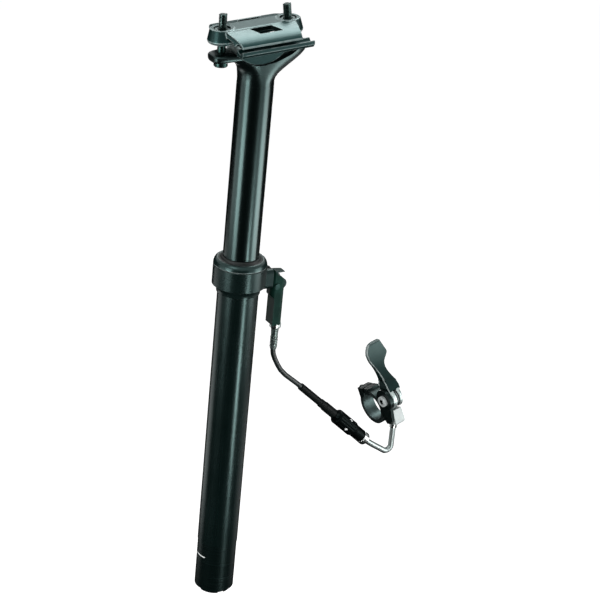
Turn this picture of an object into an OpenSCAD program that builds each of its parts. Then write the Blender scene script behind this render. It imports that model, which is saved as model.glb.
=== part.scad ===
// Dropper seatpost. A stanchion with a two-bolt saddle head slides in an outer tube on a gas spring.
// A sprung shoe in the collar holds it, and a handlebar lever pulls the shoe back through a cable.
// The origin is on the post's axis at the collar's lower face. +X is the cable side, +Z is up.

/* [Tubes] */
// Outside diameter of the outer tube
outer_d = 30.9; // [30.7:0.1:38]
// Wall of the outer tube
outer_wall = 1.55; // [1.3:0.05:1.6]
// Outside diameter of the stanchion
stanchion_d = 26.8; // [22:0.1:27]
// Wall of the stanchion
stanchion_wall = 2; // [1.8:0.1:2.6]
// How far the stanchion slides
travel = 125; // [75:5:170]
// Length of stanchion that stays in the outer tube when the post is up
overlap = 76; // [60:1:110]
// Length of the cap on the foot of the outer tube
cap_len = 43; // [30:1:60]

/* [Collar] */
// Height of the collar below its screwed ring
collar_h = 21.5; // [20:0.5:28]
// Wall of the collar round the outer tube
collar_wall = 4.55; // [4:0.05:6]
// How far the arm for the release stands out from the collar
arm_reach = 5.6; // [5:0.1:9]
// Length of the release housing below the collar's lower face
housing_drop = 30.5; // [26:0.5:45]
// Radius of the brake shoe
shoe_r = 3.5; // [3:0.1:3.8]

/* [Saddle head] */
// Lean of the whole head from square to the post
head_tilt = 5.5; // [0:0.5:12]
// Half the distance between the two saddle bolts at their nuts
bolt_half = 25.8; // [24:0.1:30]
// Lean of each bolt inwards
bolt_splay = 4; // [0:0.5:5]
// Bolt diameter
bolt_d = 6; // [5:0.5:7]
// Diameter of a saddle rail
rail_d = 7; // [6:0.1:8]
// Distance between the centres of the two rails
rail_gauge = 44; // [42:0.5:50]
// Length of the upper clamp's wings
clamp_len = 46; // [38:1:48]
// Length of the lower cradle's channels
cradle_len = 56.5; // [48:0.5:66]
// Turn of the clamp each way from its rest
clamp_swing = 8; // [4:1:8]

/* [Remote] */
// Diameter of the handlebar
bar_d = 22.2; // [20:0.1:24]
// Width of the band round the handlebar
band_w = 10.5; // [9:0.5:12]
// Wall of the band
band_wall = 3.4; // [2.6:0.1:3.6]
// Height of the lever's tip above its pivot
lever_len = 46; // [42:1:60]
// Radius of the lever's pulley
pulley_r = 9; // [8:0.1:9.2]
// Outside diameter of the noodle
noodle_d = 3.8; // [3.4:0.1:4.4]
// Centre-line radius of the noodle's bend
noodle_bend = 4.5; // [3.5:0.5:7]
// Outside diameter of the cable's housing
cable_d = 4; // [3.6:0.1:4.4]

/* [Hidden] */
$fn = 64;

// Clearances: a sliding or turning fit, a free gap, and what a cut reaches past a face
run_gap = 0.06;
free_gap = 0.3;
cut = 1;

// Radii of the tubes and what fits in them
outer_r = outer_d / 2;
bore_r = outer_r - outer_wall;
stanchion_r = stanchion_d / 2;
stanchion_bore_r = stanchion_r - stanchion_wall;
collar_r = outer_r + collar_wall;
socket_r = outer_r - 0.5;
rod_r = 4;
gas_r = stanchion_bore_r - 2.4;
gas_bore_r = gas_r - 1.4;

// Heights along the post
socket_depth = 15;
seal_floor = 17;
ring_h = 5.2;
wiper_top = collar_h + 6.9;
head_gap = 10.6;
head_base = wiper_top + travel + head_gap;
stanchion_foot = -overlap;
bottom_room = 10;
cap_seam = stanchion_foot - travel - bottom_room;
foot = cap_seam - cap_len;
cap_floor = 8;
cap_spigot = 6;
blind_top = head_base - 14;

// Seal and ring of the collar
lip_r = stanchion_r + 0.5;
seal_r = stanchion_r + 2.7;
skirt_r = seal_r + 1.3;
skirt_floor = 18.5;

// Anti-rotation keys, sunk in the stanchion and running in slots of the outer tube
key_w = 2.6;
key_len = 24;
key_sink = 1.2;
key_bite = 0.8;
key_low = stanchion_foot + 6;
key_high = key_low + key_len;

// Gas spring
gland_h = 8;
bumper_h = 3.5;
piston_h = 8;
piston_low = stanchion_foot + gland_h + bumper_h + free_gap;
cylinder_top_wall = 4;

// Release mechanism in the collar's arm, drawn in the plane Y = 0
brake_z = 8;
arm_half = 6.5;
arm_end = collar_r + arm_reach;
shoe_back = stanchion_r + 3.1;
spigot_r = 4.4;
spigot_len = 3.6;
spigot_x = arm_end - spigot_len;
stem_r = 1.5;
housing_w = 11.7;
housing_d = 11;
housing_x = arm_end + housing_w / 2;
cable_x = arm_end + 8.8;
crank_half = 3.4;
crank_x = cable_x - 4.4;
crank_z = brake_z - 6.5;
fork_r = 1.6;
cross_pin_r = 0.9;
cross_pin_x = crank_x + fork_r + cross_pin_r + 0.1;
nipple_z = crank_z + 0.9;
nipple_r = 2.2;
shoulder_r = 4.5;
pin_r = 1.5;
slot_floor = -4.6;

// Cable below the housing
ferrule_h = 4.5;
ferrule_r = 4.4;
boot_len = 17.5;
boot_r = 2.9;
cable_start = [cable_x, 0, -housing_drop - ferrule_h - boot_len];
cable_route = [
  [0, 0, 0], [0, 0, -1.5], [0.6, 0, -4.8], [2.2, 0, -8.8], [4.9, 0, -14], [8.3, 0, -19.3],
  [13, 0, -24.3], [18.2, 0, -28.6], [24.2, 0, -33.5], [27.6, 0, -36.53]
];
cable_end = cable_start + cable_route[len(cable_route) - 1];

// Pieces in line on the adjuster's axis, measured from the cable's end towards the remote
adjuster_dip = 41.7;
sleeve_len = 25.5;
boot_step_len = 18;
barrel_len = 26.5;
collet_len = 10;
stud_len = 5;
sleeve_r = 2.9;
barrel_r = 6.1;
collet_r = 5.2;
stud_r = 3;
adjuster_x = sleeve_len + boot_step_len;
stud_x = adjuster_x + barrel_len + collet_len + 2 * free_gap;
line_end = stud_x + stud_len;

// Noodle: out of the stud at a flatter dip, round its bend and up into the cable stop
noodle_dip = 35;
noodle_run = 31.8;
noodle_rise = 29;
noodle_turn = 125;
noodle_r = noodle_d / 2;

// Remote, built round the handlebar's axis as its own X with the lever up its own Z
remote_turn = [-20, -14, 9];
noodle_end = [-1.1, -18, -13];
pivot_y = -22.6;
pivot_z = 8.6;
bar_r = bar_d / 2;
band_r = bar_r + band_wall;
plate_t = 3.1;
plate_x = -band_w / 2 - 1.1;
lever_x = plate_x + plate_t + free_gap;
lever_w = 9;
groove_w = 2.6;
groove_r = 6.4;
pivot_r = 3;
stop_size = [9, 9, 12.6];
stop_at = [plate_x + plate_t - 0.3 + stop_size[0] / 2, -21, -8.1];
noodle_boss_r = 3.2;
ear_y = 4.5;
ear_half = 7.5;
ear_top = band_r + 1.7;
ear_low = ear_top - 8.4;
ear_screw_r = 1.5;
ear_screw_z = bar_r + ear_screw_r + 1;
ear_screw_len = 2 * ear_half - 2;

// Saddle head, measured in its own leaning frame from the foot of the flare
hinge_h = 38;
head_half = 13.5;
neck_r = stanchion_r - 0.1;
flare_h = 20.5;
lug_top = hinge_h - 14.2;
lug_low = lug_top - 6.8;
head_top = lug_top + 0.3;
front_reach = bolt_half + 13;
rear_reach = bolt_half + 9.2;
seat_r = hinge_h - 13.4;
belly_r = seat_r - free_gap;
scoop_y = 8.8;
bolt_r = bolt_d / 2;
bolt_seat = 19.4;
bolt_head_r = bolt_r + 2;
bolt_head_h = bolt_d * 0.68;
washer_h = 1.2;
washer_r = bolt_head_r + 0.6;
boss_r = bolt_r + 5.8;
boss_foot_r = boss_r + 2;
boss_top = 3.3;
roof_top = 3;
boss_low = -7.5;
stick_out = 9.8;
nut_r = bolt_r + 2.8;
nut_bore_r = bolt_r + 0.6;
nut_top = 2.2;
nut_low = -4.4;
rail_r = rail_d / 2;
rail_y = rail_gauge / 2;
rail_drop = 6.4;
rail_lip = 1;
wing_y = rail_y + rail_r + 1.1;
root_y = rail_y - rail_r - 1.1;
cradle_half = 17;
cradle_ahead = 4.8;

// Springs
wire_r = 0.4;

// Shared shapes

// A cylinder along X between two places
module rod_x(x0, x1, r) {
  translate([x0, 0, 0])
    rotate([0, 90, 0])
      cylinder(r = r, h = x1 - x0);
}

// A cylinder along Y, centred
module rod_y(w, r) {
  rotate([90, 0, 0])
    cylinder(r = r, h = w, center = true);
}

// A tube along Z
module tube(z0, z1, r_out, r_in) {
  difference() {
    translate([0, 0, z0]) cylinder(r = r_out, h = z1 - z0);
    translate([0, 0, z0 - cut]) cylinder(r = r_in, h = z1 - z0 + 2 * cut);
  }
}

// An outline drawn in X and Z, pulled along Y
module slab_y(w) {
  rotate([90, 0, 0])
    linear_extrude(w, center = true)
      children();
}

// An outline drawn in Y and Z, pulled along X
module slab_x(l) {
  rotate([90, 0, 90])
    linear_extrude(l, center = true)
      children();
}

// A rectangle with round corners
module round_rect(w, d, r) {
  square([w - 2 * r, d], center = true);
  square([w, d - 2 * r], center = true);
  for (x = [-1, 1], y = [-1, 1])
    translate([x * (w / 2 - r), y * (d / 2 - r)])
      circle(r);
}

// Points of a quarter ellipse between two corners of an outline, bulging towards the first one's height
function quarter(from, to, n) = [
  for (i = [0 : n])
    let (q = 90 * i / n)
    [from[0] + (to[0] - from[0]) * (1 - cos(q)), from[1] + (to[1] - from[1]) * sin(q)]
];

// Points of a cubic curve
function curve(a, b, c, d, n) = [
  for (i = [0 : n])
    let (t = i / n, s = 1 - t)
    a * s * s * s + 3 * b * s * s * t + 3 * c * s * t * t + d * t * t * t
];

// A closed skin over rings that all have the same number of points
module skin(rings) {
  n = len(rings[0]);
  last = len(rings) - 1;
  polyhedron(
    points = [for (ring = rings) for (p = ring) p],
    faces = concat(
      [[for (i = [0 : n - 1]) i]],
      [for (k = [0 : last - 1]) for (i = [0 : n - 1])
        let (a = k * n, b = a + n, j = (i + 1) % n)
        each [[a + i, b + i, b + j], [a + i, b + j, a + j]]],
      [[for (i = [n - 1 : -1 : 0]) last * n + i]]
    )
  );
}

function unit(v) = v / norm(v);

// Rings of a round tube along a path; side is any direction that the path never takes
function tube_rings(path, r, sides, side) = [
  for (i = [0 : len(path) - 1])
    let (
      ahead = path[min(i + 1, len(path) - 1)],
      behind = path[max(i - 1, 0)],
      along = unit(ahead - behind),
      across = unit(cross(along, side)),
      over = cross(along, across)
    )
    [for (k = [0 : sides - 1])
      let (q = 360 * k / sides)
      path[i] + r * (cos(q) * across + sin(q) * over)]
];

// Points of a coil round Z
function coil(r, pitch, turns, per_turn) = [
  for (i = [0 : turns * per_turn])
    [r * cos(360 * i / per_turn), r * sin(360 * i / per_turn), pitch * i / per_turn]
];

// Least gap of a coil to itself, over points at least half a turn apart
function coil_gap(path, r, per_turn) = min([
  for (i = [0 : len(path) - 1])
    for (j = [i + per_turn / 2 : len(path) - 1])
      norm(path[i] - path[j]) - 2 * r
]);

// Places of the sub-assemblies

// The leaning frame of the saddle head
module head_frame() {
  translate([0, 0, head_base])
    rotate([0, -head_tilt, 0])
      children();
}

// The clamp's frame, with its swing axis along Y at the origin
module clamp_frame() {
  head_frame()
    translate([0, 0, hinge_h])
      children();
}

// The frame of one saddle bolt, with its nut's centre at the origin and the bolt up Z
module bolt_frame(side) {
  clamp_frame()
    translate([side * bolt_half, 0, 0])
      rotate([0, -side * bolt_splay, 0])
        children();
}

// The line of the adjuster, with the cable's end at the origin and the remote up Z
module adjuster_frame() {
  translate(cable_end)
    rotate([0, 90 + adjuster_dip, 0])
      children();
}

// The corner of the noodle, and its end in the remote's bracket
line_dir = [cos(adjuster_dip), 0, -sin(adjuster_dip)];
noodle_from = cable_end + line_end * line_dir;
noodle_corner = noodle_from + noodle_run * [cos(noodle_dip), 0, -sin(noodle_dip)];
rise_angle = noodle_turn - noodle_dip;
noodle_top = noodle_corner + noodle_rise * [cos(rise_angle), 0, sin(rise_angle)];

// The remote stands on the noodle's end
module remote_frame() {
  translate(noodle_top)
    rotate(remote_turn)
      translate(-noodle_end)
        children();
}

// The lever's pivot, along the remote's X
module pivot_frame() {
  remote_frame()
    translate([0, pivot_y, pivot_z])
      children();
}

// Outer tube and foot

module outer_tube() {
  color([0.06, 0.1, 0.1])
    difference() {
      union() {
        translate([0, 0, cap_seam]) cylinder(r = outer_r, h = -cap_seam);
        translate([0, 0, -cut]) cylinder(r = socket_r, h = socket_depth + cut);
      }
      translate([0, 0, cap_seam - cut]) cylinder(r = bore_r, h = socket_depth - cap_seam + 2 * cut);
      for (a = [60, 180, 300])
        rotate([0, 0, a])
          translate([bore_r - cut, -key_w / 2 - run_gap, cap_seam - cut])
            cube([key_bite + cut, key_w + 2 * run_gap, key_high + 2 - cap_seam + cut]);
      translate([0, 0, brake_z])
        rod_x(0, collar_r, shoe_r + free_gap);
    }
}

module lower_cap() {
  cap_r = outer_r - 0.3;
  notch_w = 5;
  notch_h = 3;
  color([0.05, 0.08, 0.08])
    difference() {
      rotate_extrude()
        polygon(concat(
          quarter([cap_r - 2.5, foot], [cap_r, foot + 3], 5),
          [
            [cap_r, cap_seam],
            [bore_r, cap_seam],
            [bore_r, cap_seam + cap_spigot],
            [bore_r - 1.5, cap_seam + cap_spigot],
            [bore_r - 1.5, foot + cap_floor],
            [rod_r, foot + cap_floor],
            [rod_r, foot + 2],
            [0, foot + 2],
            [0, foot]
          ]
        ));
      for (a = [0, 90])
        rotate([0, 0, a])
          translate([-outer_r - cut, -notch_w / 2, foot - cut])
            difference() {
              cube([2 * outer_r + 2 * cut, notch_w, notch_h / 2 + cut]);
              translate([outer_r + cut, notch_w / 2, 0]) cylinder(r = outer_r - 4, h = notch_h + cut);
            }
    }
}

module bottom_bumper() {
  color([0.1, 0.1, 0.1])
    tube(cap_seam + cap_spigot, cap_seam + cap_spigot + bumper_h, bore_r - 0.8, rod_r + 2);
}

module upper_bushing() {
  color([0.72, 0.68, 0.55])
    tube(-20, brake_z - shoe_r - 1.5, bore_r, stanchion_r + run_gap);
}

// Collar with its arm, screwed ring and seal

module collar() {
  foot_round = 6;
  foot_step = 3.7;
  color([0.05, 0.08, 0.08])
    difference() {
      union() {
        rotate_extrude()
          polygon(concat(
            quarter([collar_r - foot_step, 0], [collar_r, foot_round], 6),
            [
              [collar_r, collar_h - 0.4],
              [collar_r - 0.4, collar_h],
              [skirt_r, collar_h],
              [skirt_r, skirt_floor],
              [seal_r, skirt_floor],
              [seal_r, seal_floor],
              [lip_r, seal_floor],
              [lip_r, socket_depth],
              [socket_r, socket_depth],
              [socket_r, 0]
            ]
          ));
        translate([(collar_r - 3 + arm_end) / 2, 0, brake_z])
          slab_x(arm_end - collar_r + 3)
            round_rect(2 * arm_half, 15.4, 3);
      }
      translate([0, 0, brake_z]) {
        rod_x(stanchion_r, spigot_x + cut, shoe_r + run_gap);
        rod_x(spigot_x, arm_end + cut, spigot_r);
      }
      translate([arm_end - spigot_len / 2, 0, brake_z])
        cylinder(r = stem_r, h = 2 * socket_depth);
    }
}

module collar_ring() {
  color([0.06, 0.1, 0.1])
    rotate_extrude()
      polygon(concat(
        [
          [seal_r, skirt_floor],
          [skirt_r, skirt_floor],
          [skirt_r, collar_h],
          [collar_r - 0.4, collar_h]
        ],
        [for (p = quarter([collar_r, collar_h + 0.4], [seal_r + 0.8, collar_h + ring_h], 7)) p],
        [[seal_r, collar_h + ring_h - 0.4]]
      ));
}

module wiper_seal() {
  seal_step = collar_h + ring_h - 0.4;
  color([0.12, 0.13, 0.13])
    rotate_extrude()
      polygon([
        [stanchion_r + 0.7, seal_floor],
        [seal_r, seal_floor],
        [seal_r, seal_step],
        [seal_r - 1, seal_step + 0.2],
        [stanchion_r + 1.3, wiper_top - 0.6],
        [stanchion_r + 0.5, wiper_top],
        [stanchion_r + run_gap, wiper_top - 0.2],
        [stanchion_r + 0.7, wiper_top - 3]
      ]);
}

// Release: housing, crank, brake shoe and their pins

module actuator_housing() {
  cheek_top = brake_z + 6.8;
  color([0.11, 0.2, 0.19])
    difference() {
      union() {
        translate([housing_x, 0, -housing_drop])
          linear_extrude(housing_drop + cheek_top)
            round_rect(housing_w, housing_d, 4);
        translate([0, 0, brake_z])
          rod_x(spigot_x, housing_x - housing_w / 2 + cut, spigot_r);
        translate([arm_end + housing_w - 2.6, 0, 12 - housing_drop])
          sphere(r = 3.6);
      }
      // Below the arm the inner side steps back from the post
      slab_y(housing_d + 2 * cut)
        polygon([
          [arm_end - cut, -5.8], [arm_end, -5.8], [arm_end + 3, -9],
          [arm_end + 3, -housing_drop - cut], [arm_end - cut, -housing_drop - cut]
        ]);
      // Slot of the crank, open at the top and on the outer side
      translate([crank_x - 3.6, -crank_half - free_gap, slot_floor])
        cube([housing_w + cut, 2 * (crank_half + free_gap), housing_drop + cheek_top]);
      // Cheeks falling away from the arm to the outer side
      slab_y(housing_d + 2 * cut)
        polygon(concat(
          curve(
            [arm_end + 1, cheek_top + cut], [arm_end + 3, brake_z + 2],
            [arm_end + 9, brake_z + 3], [arm_end + housing_w + cut, crank_z], 8
          ),
          [[arm_end + housing_w + cut, cheek_top + cut]]
        ));
      translate([0, 0, brake_z])
        rod_x(spigot_x - cut, crank_x, stem_r + 0.1);
      translate([crank_x, 0, crank_z])
        rod_y(housing_d + 2 * cut, pin_r);
      translate([cable_x, 0, -housing_drop - cut])
        cylinder(r = 1, h = housing_drop + cut);
      translate([arm_end - spigot_len / 2, 0, brake_z + spigot_r - 1])
        cylinder(r = stem_r, h = spigot_r);
    }
}

module lock_screw() {
  color([0.3, 0.32, 0.32])
    translate([arm_end - spigot_len / 2, 0, brake_z + spigot_r - 1])
      difference() {
        cylinder(r = stem_r, h = 3.6);
        translate([0, 0, 2]) cylinder(r = 0.9, h = 2, $fn = 6);
      }
}

module crank_pin() {
  color([0.55, 0.58, 0.58])
    translate([crank_x, 0, crank_z]) {
      rod_y(housing_d, pin_r);
      translate([0, -housing_d / 2 - 0.4, 0]) rod_y(0.8, pin_r + 0.7);
    }
}

module crank() {
  beak_low = brake_z + 3.6;
  beak_top = brake_z + 5.2;
  fork_half = stem_r + 0.25;
  arm = fork_r - 0.3;
  color([0.1, 0.17, 0.16])
    difference() {
      union() {
        translate([crank_x, 0, crank_z]) rod_y(2 * crank_half, 3.3);
        translate([crank_x, 0, brake_z]) rod_y(2 * crank_half, fork_r);
        translate([cable_x, 0, nipple_z]) rod_y(2 * crank_half, shoulder_r);
        slab_y(2 * crank_half)
          polygon([
            [crank_x - arm, crank_z],
            [crank_x - arm, beak_top - 0.8],
            [crank_x - arm + 0.8, beak_top],
            [cable_x + 2.4, beak_top - 0.9],
            [cable_x + 2.4, beak_top - 1.4],
            [crank_x + arm, beak_low],
            [crank_x + arm, crank_z]
          ]);
      }
      translate([crank_x, 0, crank_z]) rod_y(2 * crank_half + cut, pin_r + run_gap);
      translate([cable_x, 0, nipple_z]) rod_y(2 * crank_half + cut, nipple_r + 0.2);
      // Fork for the plunger's stem
      translate([crank_x - 3, -fork_half, brake_z - 2.4]) cube([11, 2 * fork_half, 5.5]);
      // Slot for the wire under its nipple
      translate([cable_x - 1.2, -1, nipple_z - shoulder_r - cut]) cube([4.8, 2, shoulder_r + cut]);
    }
}

module inner_wire() {
  color([0.75, 0.77, 0.77]) {
    translate([cable_x, 0, nipple_z]) rod_y(2 * crank_half - 0.6, nipple_r);
    translate([cable_x, 0, 6 - housing_drop]) cylinder(r = 0.6, h = nipple_z + housing_drop - 6);
  }
}

module brake_plunger() {
  color([0.5, 0.42, 0.2])
    difference() {
      translate([0, 0, brake_z]) {
        rod_x(stanchion_r - 1, shoe_back, shoe_r);
        rod_x(shoe_back - cut, cross_pin_x + 1.3, stem_r);
        translate([cross_pin_x, 0, 0]) rod_y(2 * crank_half - 0.2, cross_pin_r);
      }
      cylinder(r = stanchion_r + run_gap, h = 4 * brake_z);
    }
}

module plunger_spring() {
  per_turn = 8;
  turns = 4;
  length = spigot_x - shoe_back - 2 * wire_r - 0.2;
  path = coil(2.6, length / turns, turns, per_turn);
  echo(plunger_spring_gap = coil_gap(path, wire_r, per_turn));
  color([0.7, 0.72, 0.72])
    translate([shoe_back + wire_r + 0.1, 0, brake_z])
      rotate([0, 90, 0])
        skin(tube_rings(path, wire_r, 6, [0, 0, 1]));
}

// Cable from the housing to the remote

module cable_ferrule() {
  color([0.62, 0.65, 0.64])
    translate([cable_x, 0, -housing_drop - ferrule_h])
      difference() {
        union() {
          cylinder(r1 = ferrule_r - 0.9, r2 = ferrule_r, h = 1);
          translate([0, 0, 1]) cylinder(r = ferrule_r, h = ferrule_h - 1);
        }
        translate([0, 0, -cut]) cylinder(r = 1, h = ferrule_h + 2 * cut);
      }
}

module cable_boot() {
  rib_w = 1.2;
  color([0.06, 0.08, 0.08])
    translate(cable_start)
      rotate_extrude()
        polygon(concat(
          [[0, 0], [boot_r - 0.5, 0], [boot_r - 0.3, rib_w]],
          [for (i = [0 : 3]) each [
            [boot_r - 0.3, 2.4 * i + 1.6], [boot_r, 2.4 * i + 1.9],
            [boot_r, 2.4 * i + 1.9 + rib_w], [boot_r - 0.3, 2.4 * i + 2.2 + rib_w]
          ]],
          [[boot_r, boot_len - 2], [boot_r, boot_len], [0, boot_len]]
        ));
}

module cable_housing() {
  path = [for (p = cable_route) cable_start + p];
  color([0.07, 0.1, 0.1])
    skin(tube_rings(path, cable_d / 2, 12, [0, 1, 0]));
}

module end_sleeve() {
  color([0.05, 0.07, 0.07])
    adjuster_frame()
      cylinder(r = sleeve_r, h = sleeve_len);
}

module adjuster_boot() {
  color([0.06, 0.08, 0.08])
    adjuster_frame()
      translate([0, 0, sleeve_len])
        rotate_extrude()
          polygon([
            [0, 0], [sleeve_r + 0.2, 0], [sleeve_r + 0.5, 0.6], [sleeve_r + 0.5, 5],
            [sleeve_r + 0.9, 6], [sleeve_r + 0.9, boot_step_len],
            [stud_r, boot_step_len], [stud_r, boot_step_len + 6], [0, boot_step_len + 6]
          ]);
}

module barrel_adjuster() {
  length = barrel_len + collet_len;
  flute_r = 1.2;
  color([0.03, 0.04, 0.04])
    adjuster_frame()
      translate([0, 0, adjuster_x + free_gap])
        difference() {
          rotate_extrude()
            polygon(concat(
              [[stud_r + run_gap, 0], [sleeve_r + 1.6, 0]],
              [for (p = quarter([barrel_r - 2.2, 0.4], [barrel_r, 4.5], 5)) p],
              [
                [barrel_r, barrel_len - 2.2], [collet_r, barrel_len],
                [collet_r, length - 0.6], [collet_r - 0.6, length], [stud_r + run_gap, length]
              ]
            ));
          for (a = [0 : 30 : 330])
            rotate([0, 0, a])
              translate([barrel_r + flute_r * 0.72, 0, 5.5])
                cylinder(r = flute_r, h = barrel_len - 9);
        }
}

module adjuster_stud() {
  color([0.82, 0.85, 0.84])
    adjuster_frame()
      translate([0, 0, stud_x]) {
        cylinder(r = collet_r + 0.1, h = stud_len);
        translate([0, 0, -collet_len]) cylinder(r = stud_r, h = collet_len + cut);
      }
}

module noodle() {
  tangent = noodle_bend * tan(noodle_turn / 2);
  back = [-cos(noodle_dip), 0, sin(noodle_dip)];
  up = [sin(noodle_dip), 0, cos(noodle_dip)];
  bend_from = noodle_corner + tangent * back;
  centre = bend_from + noodle_bend * up;
  path = concat(
    [noodle_from],
    curve(noodle_from + 2 * line_dir, noodle_from + 8 * line_dir, bend_from + 6 * back, bend_from, 5),
    [for (i = [1 : 10])
      let (q = noodle_turn * i / 10)
      centre - noodle_bend * (sin(q) * back + cos(q) * up)],
    [noodle_top]
  );
  color([0.86, 0.89, 0.88])
    skin(tube_rings(path, noodle_r, 16, [0, 1, 0]));
}

// Remote on the handlebar

module cable_stop() {
  wire_way = 1.6;
  color([0.84, 0.87, 0.86])
    difference() {
      remote_frame()
        translate(stop_at)
          difference() {
            cube(stop_size, center = true);
            translate([0, -stop_size[1] / 2, -stop_size[2] / 2])
              rotate([45, 0, 0]) cube([stop_size[0] + cut, 2.4, 2.4], center = true);
            translate([0.6, stop_size[1] / 2, 0])
              cube([wire_way, stop_size[1], stop_size[2] + cut], center = true);
          }
      translate(noodle_top)
        rotate([0, 90 - rise_angle, 0])
          translate([0, 0, -9]) cylinder(r = noodle_boss_r + free_gap, h = 18);
    }
}

module remote_bracket() {
  plate_low = stop_at[2] - 4.4;
  color([0.05, 0.07, 0.07])
    difference() {
      union() {
        remote_frame() {
          rod_x(-band_w / 2, band_w / 2, band_r);
          translate([-band_w / 2 - 0.3, ear_y - ear_half, ear_low])
            cube([band_w + 0.6, 2 * ear_half, ear_top - ear_low]);
          translate([0, pivot_y, pivot_z])
            rod_x(plate_x, plate_x + plate_t, pulley_r);
          // Plate from the pivot to the band and down to the noodle, clear of the bar
          translate([plate_x + plate_t / 2, 0, 0])
            slab_x(plate_t - 0.6)
              polygon([
                [pivot_y - pulley_r + 1.6, pivot_z],
                [stop_at[1] - stop_size[1] / 2 + 0.6, plate_low + 3],
                [noodle_end[1] - 3, plate_low],
                [noodle_end[1] + 2, plate_low],
                [-bar_r - 1.3, -5],
                [-bar_r - 1.3, pivot_z - 1],
                [pivot_y + 2, pivot_z + pulley_r - 2.4]
              ]);
        }
        // Socket of the noodle
        translate(noodle_top)
          rotate([0, 90 - rise_angle, 0])
            translate([0, 0, -4.2]) cylinder(r = noodle_boss_r, h = 8.4);
      }
      translate(noodle_top)
        rotate([0, 90 - rise_angle, 0])
          translate([0, 0, -noodle_rise]) cylinder(r = noodle_r, h = noodle_rise);
      remote_frame() {
        rod_x(-band_w, band_w, bar_r);
        translate([-band_w, ear_y - 0.7, bar_r / 2])
          cube([2 * band_w, 1.4, 2 * ear_top]);
        translate([0, ear_y + ear_half - ear_screw_len / 2 + cut / 2, ear_screw_z])
          rod_y(ear_screw_len + cut, ear_screw_r);
        translate([0, pivot_y, pivot_z])
          rod_x(-2 * band_w, 2 * band_w, pivot_r);
      }
    }
}

module clamp_screw() {
  head_h = 2.6;
  head_r = ear_screw_r + 1.2;
  color([0.6, 0.63, 0.62])
    remote_frame()
      translate([0, ear_y + ear_half, ear_screw_z])
        difference() {
          union() {
            translate([0, -ear_screw_len / 2, 0]) rod_y(ear_screw_len, ear_screw_r);
            translate([0, head_h / 2, 0]) rod_y(head_h, head_r);
          }
          translate([0, head_h, 0])
            rotate([90, 0, 0]) cylinder(r = 1.4, h = 3.6, center = true, $fn = 6);
        }
}

module lever_bolt() {
  head_h = 2.6;
  color([0.8, 0.83, 0.82])
    pivot_frame()
      difference() {
        union() {
          rod_x(plate_x, lever_x + lever_w + 3, pivot_r);
          rod_x(plate_x - head_h, plate_x, pivot_r + 1.4);
        }
        translate([plate_x - head_h, 0, 0])
          rotate([0, 90, 0]) cylinder(r = 2.2, h = 4, center = true, $fn = 6);
      }
}

module lever_nut() {
  color([0.1, 0.12, 0.12])
    pivot_frame()
      difference() {
        rod_x(lever_x + lever_w + free_gap, lever_x + lever_w + 3, pivot_r + 1.6, $fn = 6);
        rod_x(lever_x, lever_x + 2 * lever_w, pivot_r);
      }
}

module lever_spring() {
  per_turn = 8;
  path = coil(4.6, 1.3, 2, per_turn);
  echo(lever_spring_gap = coil_gap(path, wire_r, per_turn));
  color([0.7, 0.72, 0.72])
    pivot_frame()
      translate([lever_x + wire_r + 0.3, 0, 0])
        rotate([0, 90, 0])
          skin(tube_rings(path, wire_r, 6, [0, 0, 1]));
}

// The lever's outlines, from the pivot: its profile across the bar, and its face seen square on
lever_profile = concat(
  curve([-7.8, 3.6], [-4.4, 14], [0.6, 20], [4.4, lever_len], 12),
  [[5, lever_len + 0.6], [7, lever_len + 0.8], [7.8, lever_len]],
  curve([7.8, lever_len], [4.8, 30], [4.8, 20], [6.8, 5.4], 12)
);
lever_face = concat(
  [[0, -2]],
  curve([0, 9], [1.2, 16], [0.4, 22], [-1.6, lever_len - 17], 6),
  curve([-1.6, lever_len - 17], [-3.6, lever_len - 13], [-4.4, lever_len - 7], [-1.2, lever_len - 3], 6),
  curve([-1.2, lever_len - 3], [0.4, lever_len - 0.8], [2.4, lever_len + 0.5], [5, lever_len + 0.7], 4),
  [[13.4, lever_len + 0.7], [16, lever_len - 10.5]],
  curve([16, lever_len - 10.5], [14.4, lever_len - 14.6], [9, lever_len - 15], [8.6, lever_len - 21], 6),
  curve([8.6, lever_len - 21], [8.4, lever_len - 27], [lever_w + 2.6, 16], [lever_w + 2.6, 9], 6),
  [[lever_w + 2, 6], [lever_w, 5], [lever_w, -2]]
);

module lever() {
  recess_r = 5.6;
  recess_h = 4;
  color([0.14, 0.23, 0.22])
    pivot_frame()
      translate([lever_x, 0, 0])
        difference() {
          union() {
            rod_x(0, lever_w, pulley_r);
            intersection() {
              translate([lever_w / 2, 0, 0])
                slab_x(4 * lever_w)
                  polygon(lever_profile);
              slab_y(8 * pulley_r)
                polygon(lever_face);
            }
          }
          rod_x(-cut, lever_w + cut, pivot_r + run_gap);
          rod_x(-cut, recess_h, recess_r);
          // Groove that the wire winds into
          difference() {
            rod_x((lever_w - groove_w) / 2 + 0.6, (lever_w + groove_w) / 2 + 0.6, pulley_r + 6);
            rod_x(0, lever_w, groove_r);
            translate([0, -2 * pulley_r - 6, 6]) cube([lever_w, 4 * pulley_r + 12, 2 * pulley_r]);
            translate([0, 2, -2 * pulley_r]) cube([lever_w, 2 * pulley_r, 4 * pulley_r]);
          }
        }
}

// Stanchion and what is fixed in it

// A place given in the head's frame when it leans by t
function on_head(x, y, h, t) = [x * cos(t) - h * sin(t), y, head_base + h * cos(t) + x * sin(t)];

// One ring of the flare at height h, reaching further to the front than to the rear
function head_ring(front, rear, half, n, h, t) = [
  for (i = [0 : 39])
    let (
      q = 360 * i / 40,
      c = cos(q),
      s = sin(q)
    )
    on_head(
      (c > 0 ? front : rear) * sign(c) * pow(abs(c), 2 / n),
      half * sign(s) * pow(abs(s), 2 / n), h, t
    )
];

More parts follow.
